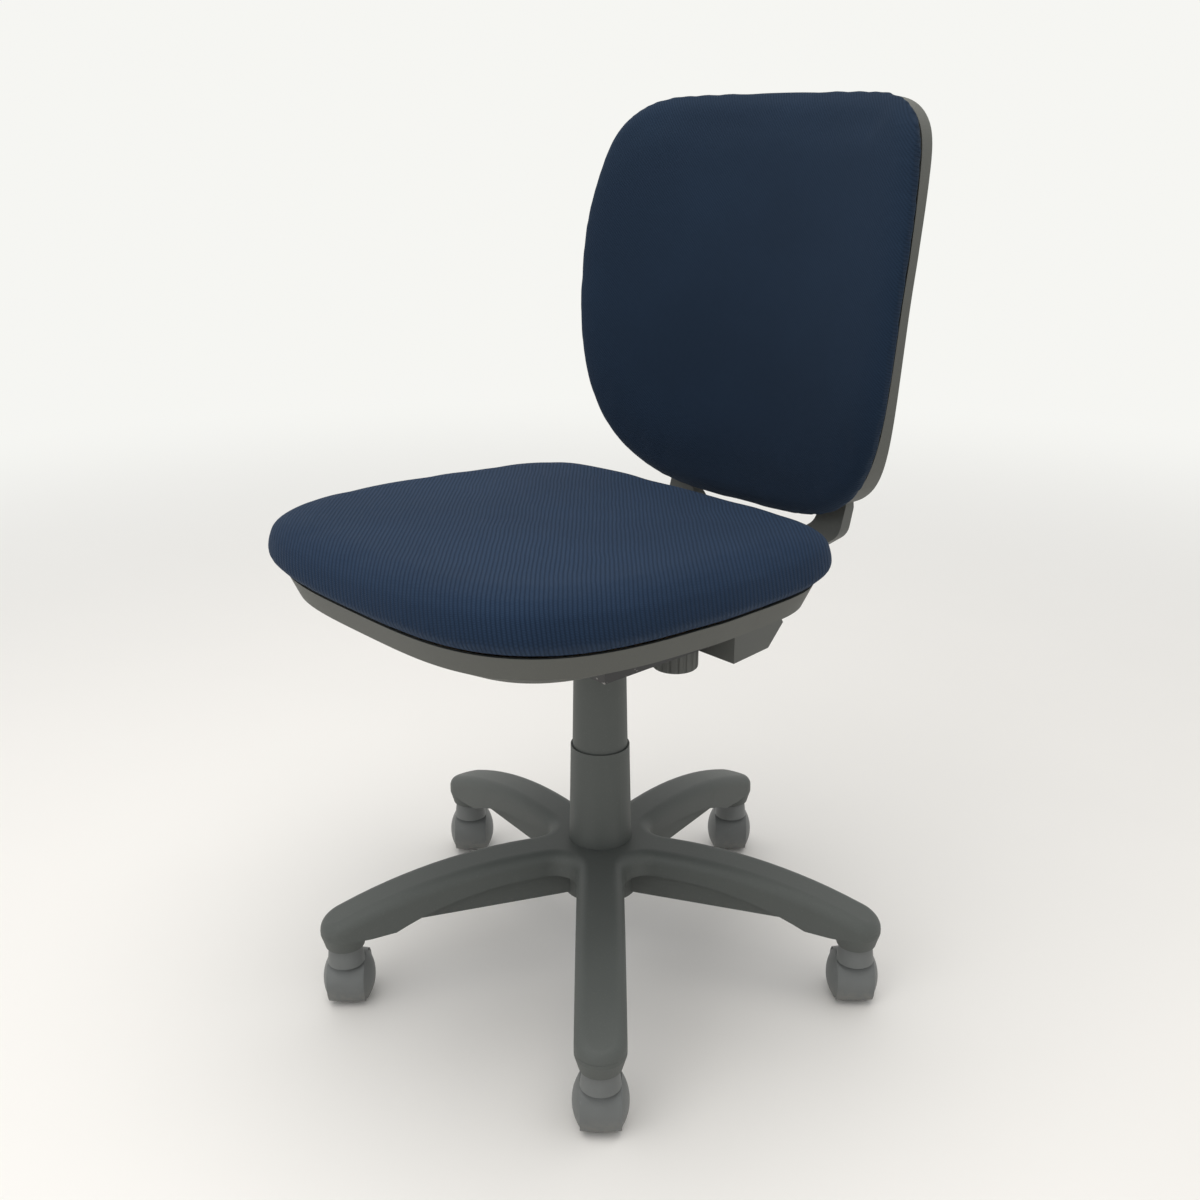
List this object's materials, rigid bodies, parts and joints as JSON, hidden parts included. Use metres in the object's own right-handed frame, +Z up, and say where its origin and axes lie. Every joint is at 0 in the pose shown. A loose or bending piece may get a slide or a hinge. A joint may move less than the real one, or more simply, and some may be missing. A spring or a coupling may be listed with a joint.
{
  "type": "swivel office chair",
  "caption": "Armless swivel task chair with padded seat and reclining back on a gas column and a five-leg base with casters.",
  "frame": {"origin": "on the floor, on the axis of the column", "axes": "+Z up, the sitter faces -Y, +X to the sitter's left"},
  "size_m": [0.5792, 0.6009, 0.89],
  "materials": {
    "base_grey": "fine matte grain",
    "caster_grey": "smooth matte",
    "shell_grey": "fine matte grain",
    "zinc_steel": "zinc plated",
    "bright_steel": "ground",
    "black_steel": "satin black paint",
    "bush_plastic": "natural",
    "pan_wood": "raw plywood",
    "blue_fabric": "ribbed woven upholstery"
  },
  "bodies": {
    "base": {"star_base": "base_grey", "caster_stems": "zinc_steel", "column_tube": "black_steel", "guide_bush": "bush_plastic", "bearing_washer": "zinc_steel", "lower_sleeve": "base_grey"},
    "swivel": {"piston_rod": "bright_steel", "piston": "bright_steel", "rod_clip": "zinc_steel"},
    "lift": {"gas_cylinder": "bright_steel", "upper_sleeve": "base_grey", "column_socket": "black_steel", "mechanism_plate": "black_steel", "mechanism_cover": "shell_grey", "pivot_pin": "bright_steel", "pivot_clips": "zinc_steel", "seat_shell": "shell_grey", "seat_pan": "pan_wood", "seat_cushion": "blue_fabric", "seat_bolts": "zinc_steel", "lever_bracket": "zinc_steel", "lever_pin": "zinc_steel"},
    "valve": {"valve_pin": "bright_steel"},
    "height_lever": {"lever_rod": "black_steel", "lever_handle": "shell_grey"},
    "knob": {"tension_knob": "shell_grey", "tension_bolt": "black_steel"},
    "spring_seat": {"tension_nut": "bright_steel", "tension_spring": "bright_steel"},
    "recline": {"yoke": "shell_grey", "yoke_bushes": "bush_plastic", "back_pan": "pan_wood", "back_shell": "shell_grey", "back_cushion": "blue_fabric", "back_bolts": "zinc_steel"},
    "caster_1": {"caster_hood_1": "caster_grey", "caster_axle_1": "zinc_steel"},
    "wheel_left_1": {"caster_wheel_left_1": "caster_grey"},
    "wheel_right_1": {"caster_wheel_right_1": "caster_grey"},
    "caster_2": {"caster_hood_2": "caster_grey", "caster_axle_2": "zinc_steel"},
    "wheel_left_2": {"caster_wheel_left_2": "caster_grey"},
    "wheel_right_2": {"caster_wheel_right_2": "caster_grey"},
    "caster_3": {"caster_hood_3": "caster_grey", "caster_axle_3": "zinc_steel"},
    "wheel_left_3": {"caster_wheel_left_3": "caster_grey"},
    "wheel_right_3": {"caster_wheel_right_3": "caster_grey"},
    "caster_4": {"caster_hood_4": "caster_grey", "caster_axle_4": "zinc_steel"},
    "wheel_left_4": {"caster_wheel_left_4": "caster_grey"},
    "wheel_right_4": {"caster_wheel_right_4": "caster_grey"},
    "caster_5": {"caster_hood_5": "caster_grey", "caster_axle_5": "zinc_steel"},
    "wheel_left_5": {"caster_wheel_left_5": "caster_grey"},
    "wheel_right_5": {"caster_wheel_right_5": "caster_grey"}
  },
  "joints": [
    {"name": "column_swivel", "type": "hinge", "parent": "base", "child": "swivel", "pos_m": [0, 0, 0.06], "axis": [0, 0, 1], "continuous": true},
    {"name": "seat_height", "type": "slide", "parent": "swivel", "child": "lift", "axis": [0, 0, 1], "range_m": [-0.075, 0.01]},
    {"name": "valve_press", "type": "slide", "parent": "lift", "child": "valve", "axis": [0, 0, -1], "range_m": [0, 0.0034], "stiffness_N_per_m": 3000, "springref_m": -0.002},
    {"name": "lever_lift", "type": "hinge", "parent": "lift", "child": "height_lever", "pos_m": [-0.034, 0, 0.3645], "axis": [0, 1, 0], "range_deg": [0, 5.5], "stiffness_Nm_per_rad": 6, "springref_deg": -5.73},
    {"name": "tension_turn", "type": "hinge", "parent": "lift", "child": "knob", "pos_m": [0, 0.109, 0.311], "axis": [0, 0, 1], "range_deg": [0, 1440]},
    {"name": "spring_preload", "type": "slide", "parent": "lift", "child": "spring_seat", "axis": [0, 0, -1], "range_m": [0, 0.0061]},
    {"name": "back_recline", "type": "hinge", "parent": "lift", "child": "recline", "pos_m": [0, 0.165, 0.385], "axis": [-1, 0, 0], "range_deg": [0, 15], "stiffness_Nm_per_rad": 120, "springref_deg": -8.59, "deforming": ["tension_spring"]},
    {"name": "caster_1_swivel", "type": "hinge", "parent": "base", "child": "caster_1", "pos_m": [0.20511, -0.18468, 0.07], "axis": [0, 0, 1], "continuous": true},
    {"name": "wheel_left_1_roll", "type": "hinge", "parent": "caster_1", "child": "wheel_left_1", "pos_m": [0.19768, -0.17799, 0.025], "axis": [0.6691, 0.7431, 0], "continuous": true},
    {"name": "wheel_right_1_roll", "type": "hinge", "parent": "caster_1", "child": "wheel_right_1", "pos_m": [0.19768, -0.17799, 0.025], "axis": [0.6691, 0.7431, 0], "continuous": true},
    {"name": "caster_2_swivel", "type": "hinge", "parent": "base", "child": "caster_2", "pos_m": [0.23902, 0.138, 0.07], "axis": [0, 0, 1], "continuous": true},
    {"name": "wheel_left_2_roll", "type": "hinge", "parent": "caster_2", "child": "wheel_left_2", "pos_m": [0.23159, 0.14469, 0.025], "axis": [0.6691, 0.7431, 0], "continuous": true},
    {"name": "wheel_right_2_roll", "type": "hinge", "parent": "caster_2", "child": "wheel_right_2", "pos_m": [0.23159, 0.14469, 0.025], "axis": [0.6691, 0.7431, 0], "continuous": true},
    {"name": "caster_3_swivel", "type": "hinge", "parent": "base", "child": "caster_3", "pos_m": [-0.05738, 0.26997, 0.07], "axis": [0, 0, 1], "continuous": true},
    {"name": "wheel_left_3_roll", "type": "hinge", "parent": "caster_3", "child": "wheel_left_3", "pos_m": [-0.06481, 0.27666, 0.025], "axis": [0.6691, 0.7431, 0], "continuous": true},
    {"name": "wheel_right_3_roll", "type": "hinge", "parent": "caster_3", "child": "wheel_right_3", "pos_m": [-0.06481, 0.27666, 0.025], "axis": [0.6691, 0.7431, 0], "continuous": true},
    {"name": "caster_4_swivel", "type": "hinge", "parent": "base", "child": "caster_4", "pos_m": [-0.27449, 0.02885, 0.07], "axis": [0, 0, 1], "continuous": true},
    {"name": "wheel_left_4_roll", "type": "hinge", "parent": "caster_4", "child": "wheel_left_4", "pos_m": [-0.28192, 0.03554, 0.025], "axis": [0.6691, 0.7431, 0], "continuous": true},
    {"name": "wheel_right_4_roll", "type": "hinge", "parent": "caster_4", "child": "wheel_right_4", "pos_m": [-0.28192, 0.03554, 0.025], "axis": [0.6691, 0.7431, 0], "continuous": true},
    {"name": "caster_5_swivel", "type": "hinge", "parent": "base", "child": "caster_5", "pos_m": [-0.11226, -0.25214, 0.07], "axis": [0, 0, 1], "continuous": true},
    {"name": "wheel_left_5_roll", "type": "hinge", "parent": "caster_5", "child": "wheel_left_5", "pos_m": [-0.11969, -0.24545, 0.025], "axis": [0.6691, 0.7431, 0], "continuous": true},
    {"name": "wheel_right_5_roll", "type": "hinge", "parent": "caster_5", "child": "wheel_right_5", "pos_m": [-0.11969, -0.24545, 0.025], "axis": [0.6691, 0.7431, 0], "continuous": true}
  ],
  "couplings": [
    {"joint": "valve_press", "follows": "lever_lift", "m_per_rad": 0.034},
    {"joint": "spring_preload", "follows": "tension_turn", "m_per_rad": 0.0002387}
  ]
}
